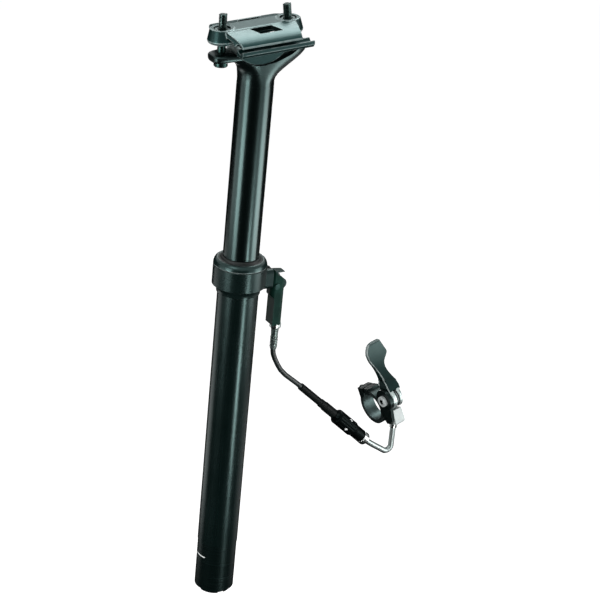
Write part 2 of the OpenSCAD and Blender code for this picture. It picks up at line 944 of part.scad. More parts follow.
// One section of the rear lug at x, a slab with round edges
function lug_ring(x, half, thick) = [
  for (i = [0 : 27])
    let (
      q = 360 * i / 28,
      c = cos(q),
      s = sin(q)
    )
    on_head(
      x, -half * sign(c) * pow(abs(c), 0.6),
      (lug_low + lug_top + thick * sign(s) * pow(abs(s), 0.6)) / 2, head_tilt
    )
];

function ease(s) = s * s * (3 - 2 * s);

module stanchion() {
  thick = lug_top - lug_low;
  flare = [
    for (s = [0 : 0.125 : 1])
      head_ring(
        neck_r + (front_reach - neck_r) * ease(pow(s, 1.1)),
        neck_r + min(7, 7 * pow(max(0, flare_h * s - 7) / 9, 2)),
        neck_r + (head_half - neck_r) * s, 2 + 0.9 * s, flare_h * s, head_tilt * s
      )
  ];
  crown = [
    head_ring(front_reach, neck_r + 7, head_half, 2.9, head_top - 1.2, head_tilt),
    head_ring(front_reach - 1.2, neck_r + 6, head_half - 0.6, 2.9, head_top, head_tilt)
  ];
  lug = [
    for (p = [
      [rear_reach - 5, 12, 1], [22, 11.5, 1], [16, 10.4, 1], [9, 9.6, 1],
      [4.5, 8.8, 1], [2, 7.6, 0.94], [0.7, 6.2, 0.8], [0, 4.4, 0.5]
    ])
      lug_ring(p[0] - rear_reach, p[1], thick * p[2])
  ];
  color([0.05, 0.08, 0.08])
    difference() {
      union() {
        translate([0, 0, stanchion_foot])
          cylinder(r = stanchion_r, h = head_base - 3 - stanchion_foot);
        skin(concat([head_ring(neck_r, neck_r, neck_r, 2, -5, 0)], flare, crown));
        skin(lug);
      }
      translate([0, 0, stanchion_foot - cut])
        cylinder(r = stanchion_bore_r, h = blind_top - stanchion_foot + cut);
      for (a = [60, 180, 300])
        rotate([0, 0, a])
          translate([stanchion_r - key_sink, -key_w / 2, key_low])
            cube([key_sink + cut, key_w, key_len]);
      clamp_frame() {
        rod_y(4 * head_half, seat_r);
        // The front falls away on both flanks, leaving the bolt's tongue between
        for (side = [-1, 1])
          translate([0, side * (scoop_y + head_half), 0])
            slab_y(2 * head_half)
              polygon([
                [-4, -15], [3, 0.3 - seat_r], [10, 0.8 - seat_r], [bolt_half - 3.3, 4.2 - seat_r],
                [bolt_half + 6.3, 9 - seat_r], [front_reach + 4, 12.6 - seat_r], [front_reach + 4, 4], [-4, 4]
              ]);
      }
      for (side = [-1, 1])
        bolt_frame(side) {
          translate([0, 0, -bolt_seat - cut]) cylinder(r = bolt_r + free_gap, h = bolt_seat);
          translate([0, 0, -2 * bolt_seat]) cylinder(r = washer_r + free_gap, h = bolt_seat);
        }
    }
}

module key(angle) {
  color([0.75, 0.62, 0.3])
    rotate([0, 0, angle])
      translate([stanchion_r - key_sink, -key_w / 2, key_low])
        cube([bore_r + key_bite - run_gap - stanchion_r + key_sink, key_w, key_len]);
}

module key_1() key(60);
module key_2() key(180);
module key_3() key(300);

module lower_bushing() {
  color([0.72, 0.68, 0.55])
    tube(stanchion_foot, key_low - 0.5, bore_r - run_gap, stanchion_r);
}

module gas_cylinder() {
  color([0.66, 0.68, 0.68])
    difference() {
      translate([0, 0, stanchion_foot + gland_h])
        cylinder(r = gas_r, h = blind_top - stanchion_foot - gland_h);
      translate([0, 0, stanchion_foot + gland_h - cut])
        cylinder(r = gas_bore_r, h = blind_top - cylinder_top_wall - stanchion_foot - gland_h + cut);
    }
}

module gas_gland() {
  color([0.3, 0.32, 0.32])
    tube(stanchion_foot, stanchion_foot + gland_h, stanchion_bore_r, rod_r + run_gap);
}

module top_bumper() {
  low = stanchion_foot + gland_h;
  color([0.1, 0.1, 0.1])
    tube(low, low + bumper_h, gas_bore_r - 0.2, rod_r + free_gap);
}

module gas_rod() {
  color([0.8, 0.82, 0.82])
    translate([0, 0, foot + 2])
      cylinder(r = rod_r, h = piston_low - foot - 2);
}

module gas_piston() {
  color([0.35, 0.36, 0.36])
    translate([0, 0, piston_low])
      rotate_extrude()
        polygon([
          [0, 0], [gas_bore_r - 0.6, 0], [gas_bore_r - run_gap, 0.6], [gas_bore_r - run_gap, 3],
          [gas_bore_r - 1, 3], [gas_bore_r - 1, 5], [gas_bore_r - run_gap, 5],
          [gas_bore_r - run_gap, piston_h - 0.6], [gas_bore_r - 0.6, piston_h], [0, piston_h]
        ]);
}

// Saddle bolts, washers and nuts

module saddle_bolt(side) {
  socket_r = bolt_r * 0.95;
  color([0.3, 0.36, 0.35])
    bolt_frame(side)
      difference() {
        union() {
          translate([0, 0, -bolt_seat - washer_h])
            cylinder(r = bolt_r, h = bolt_seat + washer_h + boss_top + stick_out - 0.6);
          translate([0, 0, boss_top + stick_out - 0.6])
            cylinder(r1 = bolt_r, r2 = bolt_r - 0.6, h = 0.6);
          translate([0, 0, -bolt_seat - washer_h - bolt_head_h])
            cylinder(r = bolt_head_r, h = bolt_head_h);
        }
        translate([0, 0, -bolt_seat - washer_h - bolt_head_h - cut])
          cylinder(r = socket_r, h = bolt_head_h / 2 + cut, $fn = 6);
      }
}

module rear_bolt() saddle_bolt(-1);
module front_bolt() saddle_bolt(1);

module saddle_washer(side) {
  color([0.6, 0.63, 0.62])
    bolt_frame(side)
      tube(-bolt_seat - washer_h, -bolt_seat, washer_r, bolt_r);
}

module rear_washer() saddle_washer(-1);
module front_washer() saddle_washer(1);

module saddle_nut(side) {
  color([0.35, 0.42, 0.41])
    bolt_frame(side)
      difference() {
        intersection() {
          sphere(r = nut_r);
          translate([0, 0, nut_low]) cylinder(r = 2 * nut_r, h = nut_top - nut_low);
        }
        translate([0, 0, -2 * nut_r]) cylinder(r = nut_bore_r, h = 4 * nut_r);
      }
}

module rear_nut() saddle_nut(-1);
module front_nut() saddle_nut(1);

// Saddle clamp

// Half of the upper clamp's roof, with the rail's channel left out
module roof_half() {
  lip = rail_lip - rail_drop;
  difference() {
    polygon(concat(
      [[-0.1, roof_top], [6.5, roof_top]],
      curve([6.5, roof_top], [rail_y - 7, 1.4], [rail_y - 1, 0.2], [wing_y - 1, -2.8], 8),
      [
        [wing_y, -4.2], [wing_y, lip], [root_y, lip], [root_y - 1.4, lip + 2.6],
        [8, -0.8], [-0.1, -0.8]
      ]
    ));
    translate([rail_y, -rail_drop]) circle(r = rail_r);
  }
}

module top_clamp() {
  window_len = 17;
  window_y = 8.6;
  window_end = root_y - 0.4;
  wing_half = clamp_len / 2;
  root_half = wing_half + 4.5;
  seat_sphere_r = nut_r + free_gap;
  bolt_way = bolt_r + 2.3;
  color([0.6, 0.69, 0.68])
    clamp_frame()
      difference() {
        union() {
          // Roof, narrowing towards the rims of its wings
          intersection() {
            slab_x(2 * root_half + 2 * cut) {
              roof_half();
              mirror([1, 0]) roof_half();
            }
            translate([0, 0, -3 * rail_drop])
              linear_extrude(6 * rail_drop)
                polygon([
                  [-wing_half, -wing_y - cut], [wing_half, -wing_y - cut], [root_half, -9], [root_half, 9],
                  [wing_half, wing_y + cut], [-wing_half, wing_y + cut], [-root_half, 9], [-root_half, -9]
                ]);
          }
          for (side = [-1, 1])
            translate([side * bolt_half, 0, 0])
              rotate_extrude()
                polygon([
                  [0, boss_low], [boss_foot_r - 2.4, boss_low], [boss_foot_r - 0.7, boss_low + 0.7],
                  [boss_foot_r, boss_low + 2.4], [boss_r, boss_top - 0.5], [boss_r - 0.5, boss_top],
                  [0, boss_top]
                ]);
        }
        for (side = [-1, 1]) {
          translate([0, 0, -2 * rail_drop])
            linear_extrude(4 * rail_drop)
              polygon([
                [-9.5, side * window_y], [window_len - 9.5, side * window_y],
                [window_len - 4.5, side * window_end], [-4.5, side * window_end]
              ]);
          translate([side * bolt_half, 0, 0]) {
            sphere(r = seat_sphere_r);
            cylinder(r = seat_sphere_r, h = 2 * boss_top);
            translate([0, 0, 2 * boss_low]) cylinder(r = bolt_way, h = -2 * boss_low);
          }
          // Channels run on past the bosses
          translate([0, side * rail_y, -rail_drop]) rod_x(-clamp_len, clamp_len, rail_r);
        }
      }
}

module lower_cradle() {
  lip = -rail_drop - rail_lip - 0.2;
  floor_z = -rail_drop - rail_r - 2.7;
  bridge_top = -rail_drop - rail_r + 0.1;
  color([0.09, 0.13, 0.13])
    clamp_frame()
      difference() {
        union() {
          for (side = [-1, 1])
            translate([cradle_ahead, 0, 0])
              slab_x(cradle_len)
                polygon([
                  [side * root_y, lip], [side * wing_y, lip], [side * wing_y, floor_z + 2.4],
                  [side * (wing_y - 2), floor_z], [side * root_y, floor_z]
                ]);
          translate([-cradle_half, -root_y - cut, floor_z])
            cube([2 * cradle_half, 2 * (root_y + cut), bridge_top - floor_z]);
          intersection() {
            rod_y(2 * head_half - 3, belly_r);
            translate([-cradle_half, -head_half, -2 * belly_r])
              cube([2 * cradle_half, 2 * head_half, 2 * belly_r + bridge_top]);
          }
        }
        for (side = [-1, 1])
          translate([0, side * rail_y, -rail_drop]) rod_x(-cradle_len, cradle_len, rail_r);
      }
}

outer_tube();
lower_cap();
collar();
collar_ring();
wiper_seal();
upper_bushing();
bottom_bumper();
gas_rod();
gas_piston();
actuator_housing();
crank_pin();
lock_screw();
cable_ferrule();
cable_boot();
cable_housing();
end_sleeve();
adjuster_boot();
adjuster_stud();
noodle();
cable_stop();
remote_bracket();
clamp_screw();
lever_bolt();
lever_nut();
lever_spring();
barrel_adjuster();
lever();
crank();
inner_wire();
brake_plunger();
plunger_spring();
stanchion();
gas_cylinder();
gas_gland();
top_bumper();
lower_bushing();
key_1();
key_2();
key_3();
rear_bolt();
front_bolt();
rear_washer();
front_washer();
rear_nut();
front_nut();
lower_cradle();
top_clamp();
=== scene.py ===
import math

import bmesh
import bpy
from mathutils import Matrix, Vector
from mathutils.geometry import interpolate_bezier


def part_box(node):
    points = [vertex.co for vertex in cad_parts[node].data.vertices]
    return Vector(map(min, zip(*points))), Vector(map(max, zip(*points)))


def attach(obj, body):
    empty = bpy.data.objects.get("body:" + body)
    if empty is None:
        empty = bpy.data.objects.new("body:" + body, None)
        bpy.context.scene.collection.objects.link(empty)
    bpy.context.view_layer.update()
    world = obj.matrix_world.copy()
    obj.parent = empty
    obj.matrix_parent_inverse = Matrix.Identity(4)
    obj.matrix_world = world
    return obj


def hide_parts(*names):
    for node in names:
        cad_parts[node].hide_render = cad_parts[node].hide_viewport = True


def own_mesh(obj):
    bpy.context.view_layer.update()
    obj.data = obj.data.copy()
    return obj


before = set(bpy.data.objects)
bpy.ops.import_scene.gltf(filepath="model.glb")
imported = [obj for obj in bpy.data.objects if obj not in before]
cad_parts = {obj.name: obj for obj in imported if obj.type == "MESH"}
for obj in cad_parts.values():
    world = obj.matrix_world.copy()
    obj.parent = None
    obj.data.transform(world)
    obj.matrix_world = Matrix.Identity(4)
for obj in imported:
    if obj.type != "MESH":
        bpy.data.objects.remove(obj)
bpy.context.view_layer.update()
scene = bpy.context.scene
scene.view_settings.view_transform = "Standard"

# Camera
# A long lens looks down on the post from its left, about 1.5 m away and 24 degrees above level.
# It is rolled so that the post leans a little to the right in the picture.
viewpoint = Vector((-0.6569, -1.1850, 0.5894))
right = Vector((0.88792, -0.45366, 0.07603))
up = Vector((0.12301, 0.39343, 0.91109))
pan_right = 0.0316
pan_up = 0.0020
ahead = (Vector((0.44324, 0.79962, -0.40514)) + right * pan_right + up * pan_up).normalized()
right = (right - ahead * right.dot(ahead)).normalized()
up = right.cross(ahead)
lens = bpy.data.cameras.new("camera")
lens.lens = 120
lens.sensor_width = 36
lens.clip_end = 50
camera = bpy.data.objects.new("camera", lens)
camera.matrix_world = Matrix((
    (right.x, up.x, -ahead.x, viewpoint.x),
    (right.y, up.y, -ahead.y, viewpoint.y),
    (right.z, up.z, -ahead.z, viewpoint.z),
    (0, 0, 0, 1),
))
scene.collection.objects.link(camera)
scene.camera = camera


# Cable housing
# A black plastic sleeve over a wound steel liner, bowed out from the release to the adjuster.
# It is stiff for its length, so it hangs in one easy curve between its two ends.
class Socket:
    """An output in a finish's node tree. Sums on it add Math nodes."""

    def __init__(self, tree, output=None):
        self.tree = tree
        self.output = output

    def node(self, kind, settings=None, sockets=None, give=0):
        made = self.tree.nodes.new("ShaderNode" + kind)
        for name, value in (settings or {}).items():
            setattr(made, name, value)
        for name, value in (sockets or {}).items():
            if isinstance(value, Socket):
                self.tree.links.new(value.output, made.inputs[name])
            else:
                made.inputs[name].default_value = value
        return Socket(self.tree, made.outputs[give])

    def math(self, operation, *values):
        return self.node("Math", {"operation": operation}, dict(enumerate(values)))

    def __add__(self, other):
        return self.math("ADD", self, other)

    def __radd__(self, other):
        return self.math("ADD", other, self)

    def __sub__(self, other):
        return self.math("SUBTRACT", self, other)

    def __rsub__(self, other):
        return self.math("SUBTRACT", other, self)

    def __mul__(self, other):
        return self.math("MULTIPLY", self, other)

    def __rmul__(self, other):
        return self.math("MULTIPLY", other, self)

    def __gt__(self, other):
        return self.math("GREATER_THAN", self, other)

    def __lt__(self, other):
        return self.math("LESS_THAN", self, other)

    def step(self, low, high):
        return self.node("MapRange", {"interpolation_type": "SMOOTHSTEP"},
                         {"Value": self, "From Min": low, "From Max": high})

    def mix(self, low, high):
        """Blends two colours. A Mix node's colours are its inputs 6 and 7 and its output 2."""
        return self.node("Mix", {"data_type": "RGBA"}, {"Factor": self, 6: low, 7: high}, give=2)


def new_finish(name):
    made = bpy.data.materials.new(name)
    made.use_nodes = True
    return made, Socket(made.node_tree)


def noise(tree, scale, detail=3.0, stretch=(1, 1, 1)):
    """Soft lumps, as many to the metre as scale says, drawn out along an axis where stretch is small."""
    at = tree.node("TexCoord", give="Object")
    at = tree.node("Mapping", None, {"Vector": at, "Scale": stretch})
    return tree.node("TexNoise", None, {"Vector": at, "Scale": scale, "Detail": detail})


def shade(colour, share):
    return tuple(min(1, c * share) for c in colour) + (1,)


def surface(made, colour, roughness, metallic=0.0, specular=0.5, tint=(1, 1, 1), bump=None, depth=0.00001):
    shader = made.node_tree.nodes["Principled BSDF"]
    for name, value in (("Base Color", colour), ("Roughness", roughness), ("Metallic", metallic)):
        if isinstance(value, Socket):
            made.node_tree.links.new(value.output, shader.inputs[name])
        else:
            shader.inputs[name].default_value = value
    shader.inputs["Specular IOR Level"].default_value = specular
    shader.inputs["Specular Tint"].default_value = (*tint, 1)
    if bump:
        bent = bump.node("Bump", None, {"Height": bump, "Distance": depth, "Strength": 1.0})
        made.node_tree.links.new(bent.output, shader.inputs["Normal"])
    return made


def moulded(name, colour, roughness, specular=0.4, grain=2500, depth=0.00002, tint=(1, 1, 1)):
    """Black plastic or rubber with a fine moulded grain and a little dust in it."""
    made, tree = new_finish(name)
    pits = noise(tree, grain, 2)
    cloud = noise(tree, 90, 4)
    tone = cloud.step(0.35, 0.7).mix(shade(colour, 0.8), shade(colour, 1.35))
    gloss = cloud * 0.2 + (roughness - 0.1)
    return surface(made, tone, gloss, specular=specular, tint=tint, bump=pits, depth=depth)


def drawn(name, points, radius, finish):
    """A round line drawn through points."""
    line = bpy.data.curves.new(name, "CURVE")
    line.dimensions = "3D"
    line.bevel_depth = radius
    line.bevel_resolution = 6
    line.use_fill_caps = True
    line.materials.append(finish)
    run = line.splines.new("POLY")
    run.points.add(len(points) - 1)
    run.use_smooth = True
    for point, at in zip(run.points, points):
        point.co = (*at, 1)
    made = bpy.data.objects.new(name, line)
    scene.collection.objects.link(made)
    return made


cable_r = 0.002
cable_start = Vector((0.0344, 0, -0.0525))
cable_route = [cable_start + Vector((out, 0, -drop)) for out, drop in (
    (0, 0), (0, 0.0015), (0.0006, 0.0048), (0.0022, 0.0088), (0.0049, 0.0140), (0.0083, 0.0193), (0.0130, 0.0243),
    (0.0182, 0.0286), (0.0242, 0.0335), (0.0276, 0.03653),
)]
cable_points = []
for first, last in zip(cable_route, cable_route[1:]):
    cable_points += [first, (first + last) / 2]
cable_points.append(cable_route[-1])
cable_black = moulded("cable_black", (0.006, 0.011, 0.0105), 0.34, 0.3)
cable = drawn("cable", cable_points, cable_r, cable_black)
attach(cable, "base")
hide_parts("cable_housing")

# Floor and light
# Over a wide pale floor, soft strips hang low round the post, where the tubes mirror them as long highlights.
# A dark drape round the set, which only reflections see, keeps the black finishes black between the strips.
floor_at = -0.9
floor_half = 20
floor_mesh = bpy.data.meshes.new("floor")
plan = bmesh.new()
bmesh.ops.create_grid(plan, x_segments=2, y_segments=2, size=floor_half)
bmesh.ops.translate(plan, verts=plan.verts, vec=(0, 0, floor_at))
plan.to_mesh(floor_mesh)
plan.free()
floor = bpy.data.objects.new("floor", floor_mesh)
scene.collection.objects.link(floor)


def clear_view(tree):
    """1 for a ray that shows the background: straight, mirrored or through glass."""
    seen = [tree.node("LightPath", give=ray) for ray in ("Is Camera Ray", "Is Glossy Ray", "Is Transmission Ray")]
    return tree.math("MAXIMUM", tree.math("MAXIMUM", seen[0], seen[1]), seen[2])


floor_white, tree = new_finish("floor_white")
pale = tree.node("BsdfDiffuse", None, {"Color": (0.8, 0.8, 0.8, 1)})
glow = tree.node("Emission", None, {"Color": (1, 1, 1, 1), "Strength": clear_view(tree) * 0.6})
both = tree.node("AddShader", None, {0: pale, 1: glow})
floor_white.node_tree.links.new(both.output, floor_white.node_tree.nodes["Material Output"].inputs["Surface"])
floor_mesh.materials.append(floor_white)

world = bpy.data.worlds.new("studio")
world.use_nodes = True
scene.world = world
air = Socket(world.node_tree)
sky = world.node_tree.nodes["Background"]
sky.inputs["Color"].default_value = (1, 1, 1, 1)
world.node_tree.links.new((clear_view(air) * 0.5 + 0.5).output, sky.inputs["Strength"])


def lamp(name, turn, height, distance, wide, tall, power, lights=True):
    """A soft strip that stands at an angle from the viewer and faces the post."""
    heading = math.atan2(viewpoint.y, viewpoint.x) + math.radians(turn)
    at = Vector((math.cos(heading), math.sin(heading), 0)) * distance + Vector((0, 0, height))
    light = bpy.data.lights.new(name, "AREA")
    light.shape = "RECTANGLE"
    light.size = wide
    light.size_y = tall
    light.energy = power
    made = bpy.data.objects.new(name, light)
    target = Vector((0, 0, height * 0.3))
    aim = (target - at).normalized()
    made.matrix_world = Matrix.Translation(at) @ aim.to_track_quat("-Z", "Y").to_matrix().to_4x4()
    made.visible_camera = False
    made.visible_diffuse = lights
    scene.collection.objects.link(made)


strip_ring = 0.9
for name, turn, height, wide, tall, power in (
    ("upper_left", -46, -0.245, 0.36, 0.15, 2.1),
    ("upper_left_fall", -72, -0.245, 0.70, 0.15, 0.85),
    ("upper_right", 84, -0.27, 0.50, 0.18, 2.5),
    ("upper_right_fall", 62, -0.27, 0.80, 0.18, 0.9),
    ("lower_left", -114, -0.52, 0.60, 0.34, 0.9),
    ("lower_right_fall", 118, -0.56, 0.80, 0.36, 0.4),
    ("lower_right", 43, -0.47, 0.17, 0.22, 3.4),
    ("behind", 180, -0.38, 0.24, 0.5, 2.2),
):
    lamp(name, turn, height, strip_ring, wide, tall, power)

# Strips at the post's own height, seen only in mirrored rays, do the same for a lower viewpoint
gleam_at = 0.06
gleam_tall = 0.48
for name, turn, wide, power in (
    ("left_gleam", -46, 0.36, 3.4),
    ("left_fall_gleam", -72, 0.70, 1.2),
    ("right_gleam", 84, 0.50, 3.6),
    ("right_fall_gleam", 62, 0.80, 1.1),
):
    lamp(name, turn, gleam_at, strip_ring, wide, gleam_tall, power, lights=False)
lamp("key", -35, 1.5, 1.3, 0.9, 0.9, 10)
lamp("back_top", 174, 1.22, 0.8, 0.8, 0.6, 15)

drape_r = 1.25
drape_foot = -0.88
drape_tall = 1.28
drape_mesh = bpy.data.meshes.new("drape")
wall = bmesh.new()
bmesh.ops.create_circle(wall, cap_ends=True, segments=96, radius=drape_r)
bmesh.ops.translate(wall, verts=wall.verts, vec=(0, 0, drape_foot))
hung = bmesh.ops.extrude_edge_only(wall, edges=wall.edges[:])
hem = [v for v in hung["geom"] if isinstance(v, bmesh.types.BMVert)]
bmesh.ops.translate(wall, verts=hem, vec=(0, 0, drape_tall))
wall.to_mesh(drape_mesh)
wall.free()
drape = bpy.data.objects.new("drape", drape_mesh)
scene.collection.objects.link(drape)
drape_mesh.materials.append(moulded("drape_cloth", (0.008, 0.009, 0.009), 0.9, 0.0, 400))
for kind in ("camera", "diffuse", "shadow", "transmission", "volume_scatter"):
    setattr(drape, "visible_" + kind, False)


# Outer tube
# A drawn aluminium tube, turned down at its neck for the collar, bead blasted and anodised satin black.
# It stands in the bicycle's seat tube and carries everything else.
def along(tree, axis):
    """A point's place along one axis of the frame, in metres."""
    at = tree.node("TexCoord", give="Object")
    return tree.node("SeparateXYZ", None, {"Vector": at}, give=axis)


def painted_edge_highlight(tree, scale, low, high):
    """1 on the rounded edges, where a highlight is painted, broken up in patches by noise."""
    edges = tree.node("Attribute", {"attribute_name": "edge"}, give="Fac")
    return edges * noise(tree, scale).step(low, high)


dye_sheen = (0.62, 1, 0.97)
# The pale colour that is painted on rounded edges as a highlight
edge_highlight_colour = (0.30, 0.34, 0.335, 1)
# The lighter colour painted towards the lever's end as a sheen
painted_sheen_colour = (0.085, 0.125, 0.120, 1)


def anodised(name, colour, roughness, specular=0.5, tool=(1, 1, 1), edge_highlight=0.0, depth=0.000006, streaks=0.10,
             painted_sheen=None):
    """Dyed aluminium: tool marks drawn out along one way, a fine etched grain, and a painted highlight on the
    rounded edges.
    Between two given heights the colour is painted lighter upwards, a painted sheen."""
    made, tree = new_finish(name)
    cloud = noise(tree, 45, 4)
    marks = noise(tree, 700, 3, tool)
    etch = noise(tree, 5000, 2)
    tone = (cloud * 0.6 + marks * 0.4).mix(shade(colour, 0.75), shade(colour, 1.3))
    # Between the two heights the colour is painted lighter upwards, a painted sheen
    if painted_sheen:
        tone = (along(tree, "Z").step(*painted_sheen) * (cloud * 0.6 + 0.4)).mix(tone, painted_sheen_colour)
    # Rounded edges are painted lighter, a painted highlight
    if edge_highlight:
        tone = (painted_edge_highlight(tree, 160, 0.25, 0.5) * edge_highlight).mix(tone, edge_highlight_colour)
    gloss = marks * streaks + cloud * 0.08 + (roughness - streaks / 2 - 0.04)
    return surface(made, tone, gloss, specular=specular, tint=dye_sheen, bump=etch * 0.5 + marks, depth=depth)


def seated(name, shape, body, finish, crease=35, node=None):
    """Turns a shape into a smooth piece that rides on a body and stands for a node."""
    mesh = bpy.data.meshes.new(name)
    shape.to_mesh(mesh)
    shape.free()
    mesh.shade_smooth()
    mesh.set_sharp_from_angle(angle=math.radians(crease))
    mesh.materials.append(finish)
    piece = bpy.data.objects.new(name, mesh)
    scene.collection.objects.link(piece)
    even = piece.modifiers.new("even_shading", "WEIGHTED_NORMAL")
    even.keep_sharp = True
    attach(piece, body)
    if node:
        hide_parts(node)
    return piece


def sharp_edges(shape, crease):
    return [e for e in shape.edges if e.calc_face_angle(0) > math.radians(crease)]


def rounded(shape, edges, width, segments=2, clamped=True):
    """Rounds edges, and gives back the faces of the round."""
    made = bmesh.ops.bevel(shape, geom=edges, offset=width, offset_type="OFFSET", affect="EDGES", segments=segments,
                           profile=0.5, material=-1, clamp_overlap=clamped)
    return made["faces"]


weld = 0.000002
same_plane = math.radians(0.3)


def dressed(node, body, finish, edge=0.0, crease=35, clamped=True, shaped=None):
    """A merged copy of a node's mesh, its sharp edges rounded and its curves shaded smooth."""
    shape = bmesh.new()
    shape.from_mesh(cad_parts[node].data)
    highlight_tag = shape.faces.layers.float.new("edge")
    bmesh.ops.remove_doubles(shape, verts=shape.verts, dist=weld)
    if edge:
        bmesh.ops.dissolve_limit(shape, angle_limit=same_plane, verts=shape.verts, edges=shape.edges)
        if shaped:
            shaped(shape, highlight_tag)
        # The faces of each round are tagged for the painted edge highlight
        for face in rounded(shape, sharp_edges(shape, crease), edge, clamped=clamped):
            face[highlight_tag] = 1
    return seated(node + "_skin", shape, body, finish, crease, node)


tube_black = anodised("tube_black", (0.0015, 0.0046, 0.0043), 0.26, 0.28, (1, 1, 0.05))
dressed("outer_tube", "base", tube_black, edge=0.0002)

# Foot cap
# A turned aluminium plug, screwed into the foot of the tube and anodised black like it.
# A printed white stroke on it marks the least depth of insertion.
cap_r = 0.01515
stroke_side = math.radians(186.5)
stroke_half = math.radians(20.5)
stroke_low = -0.2231
stroke_high = -0.2221
foot_black, tree = new_finish("foot_black")
height = along(tree, "Z")
facing = along(tree, "X") * (math.cos(stroke_side) / cap_r) + along(tree, "Y") * (math.sin(stroke_side) / cap_r)
stroke = (facing > math.cos(stroke_half)) * (height > stroke_low) * (height < stroke_high)
rings = noise(tree, 700, 3, (0.05, 0.05, 1))
tone = rings.mix((0.0008, 0.0024, 0.0022, 1), (0.0015, 0.0044, 0.0041, 1))
surface(foot_black, stroke.mix(tone, (0.75, 0.78, 0.77, 1)), rings * 0.10 + 0.21, specular=0.3, tint=dye_sheen,
        bump=rings, depth=0.000006)
dressed("lower_cap", "base", foot_black, edge=0.0003)

# Collar
# A forged and turned aluminium collar, pressed over the tube's neck, with an arm that carries the release.
# A screwed ring on its top holds the wiper seal, whose rubber lip runs on the stanchion.
collar_black = anodised("collar_black", (0.0024, 0.0066, 0.0062), 0.28, 0.24, (0.2, 0.2, 1), 0.2, 0.0000006, 0.03)
dressed("collar", "base", collar_black, edge=0.0004)
ring_black = anodised("ring_black", (0.0034, 0.0092, 0.0088), 0.26, 0.46, (0.2, 0.2, 1), 0.5, 0.000002)
dressed("collar_ring", "base", ring_black, edge=0.0003)
lip_rubber = moulded("lip_rubber", (0.007, 0.011, 0.0105), 0.5, 0.3)
dressed("wiper_seal", "base", lip_rubber, edge=0.0002)


# Slide
# Bushings of filled polymer, three brass keys that stop the turn, and rubber stops at both ends.
# They sit between the two tubes and show only when the post is taken apart.
def coat(finish, *nodes):
    for name in nodes:
        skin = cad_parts[name].data.materials
        skin.clear()
        skin.append(finish)


def bare(name, colour, roughness, tool=(1, 1, 1), mottle=0.15, metallic=1.0, depth=0.000002, uneven=1.0):
    """Uncoated metal with tool marks and a faint smear of handling."""
    made, tree = new_finish(name)
    smear = noise(tree, 220, 4)
    marks = noise(tree, 900, 3, tool)
    tone = smear.step(0.3, 0.75).mix(shade(colour, 1 - mottle), shade(colour, 1 + mottle))
    gloss = (smear * 0.16 + marks * 0.10) * uneven + (roughness - 0.13 * uneven)
    return surface(made, tone, gloss, metallic, bump=marks, depth=depth)


slide_polymer = moulded("slide_polymer", (0.34, 0.33, 0.30), 0.5)
key_brass = bare("key_brass", (0.62, 0.44, 0.18), 0.3, (1, 1, 0.05))
coat(slide_polymer, "upper_bushing", "lower_bushing")
coat(key_brass, "key_1", "key_2", "key_3")
coat(lip_rubber, "bottom_bumper", "top_bumper")

# Gas spring
# A sealed aluminium cylinder hung in the stanchion, its ground steel rod screwed into the foot cap.
# Its gas lifts the saddle when the release lets the stanchion go.
gas_alloy = bare("gas_alloy", (0.52, 0.54, 0.54), 0.32, (0.2, 0.2, 1))
rod_chrome = bare("rod_chrome", (0.62, 0.64, 0.64), 0.16, (0.2, 0.2, 1), 0.05)
coat(gas_alloy, "gas_cylinder", "gas_gland", "gas_piston")
coat(rod_chrome, "gas_rod")

# Stanchion
# One forged piece: a long tube, ground and hard anodised glossy, and a flared head with a lug before and behind.
# The head keeps the duller, finely pitted face of the forging under the same dye.
ground_to = 0.158
forged_from = 0.176
stanchion_black, tree = new_finish("stanchion_black")
forged = along(tree, "Z").step(ground_to, forged_from)
cloud = noise(tree, 60, 4)
pits = noise(tree, 2600, 3)
tone = cloud.mix((0.0004, 0.0010, 0.0010, 1), (0.0009, 0.0022, 0.0021, 1))
# The rounded edges are painted lighter, a painted highlight
tone = (painted_edge_highlight(tree, 160, 0.3, 0.55) * 0.35).mix(tone, (0.22, 0.25, 0.245, 1))
surface(stanchion_black, tone, forged * 0.07 + cloud * 0.02 + 0.21, specular=0.45, tint=dye_sheen,
        bump=pits * forged, depth=0.00001)
dressed("stanchion", "stanchion", stanchion_black, edge=0.0004, crease=42)

# Saddle clamp
# A forged cradle rocks in the head's round seat, and a milled plate over it holds the saddle's two rails.
# Both are tumbled and anodised grey, the plate lighter than the cradle, and their edges carry a painted highlight.
clamp_centre = Vector((-0.0036421, 0, 0.2018251))
clamp_lean = math.radians(-5.5)
clamp_frame = Matrix.Translation(clamp_centre) @ Matrix.Rotation(clamp_lean, 4, "Y")
bolt_half = 0.0258
boss_r = 0.0105
window_back = -0.0098
window_front = 0.0128
window_inner = 0.0084
window_outer = 0.0172
upright = 0.4
belly_half = 0.009
belly_top = 0.1915


def tumbled(name, colour, specular, edge_highlight):
    """Satin grey anodising over a tumbled face, with a painted highlight along its rounded edges."""
    made, tree = new_finish(name)
    cloud = noise(tree, 70, 4)
    speck = noise(tree, 2400, 3)
    brush = noise(tree, 900, 3, (0.1, 1, 1))
    tone = (cloud * 0.7 + speck * 0.3).mix(shade(colour, 0.75), shade(colour, 1.25))
    # The rounded edges are painted lighter, a painted highlight
    tone = (painted_edge_highlight(tree, 180, 0.2, 0.5) * edge_highlight).mix(tone, (0.20, 0.25, 0.247, 1))
    return surface(made, tone, cloud * 0.10 + brush * 0.12 + 0.22, specular=specular, tint=(0.5, 1, 0.99),
                   bump=speck * 0.6 + brush, depth=0.00001)


def refinish(piece, finish, chosen):
    """Gives another finish to the faces that are chosen by their middle and their normal."""
    piece.data.materials.append(finish)
    for face in piece.data.polygons:
        if chosen(face.center, face.normal):
            face.material_index = len(piece.data.materials) - 1


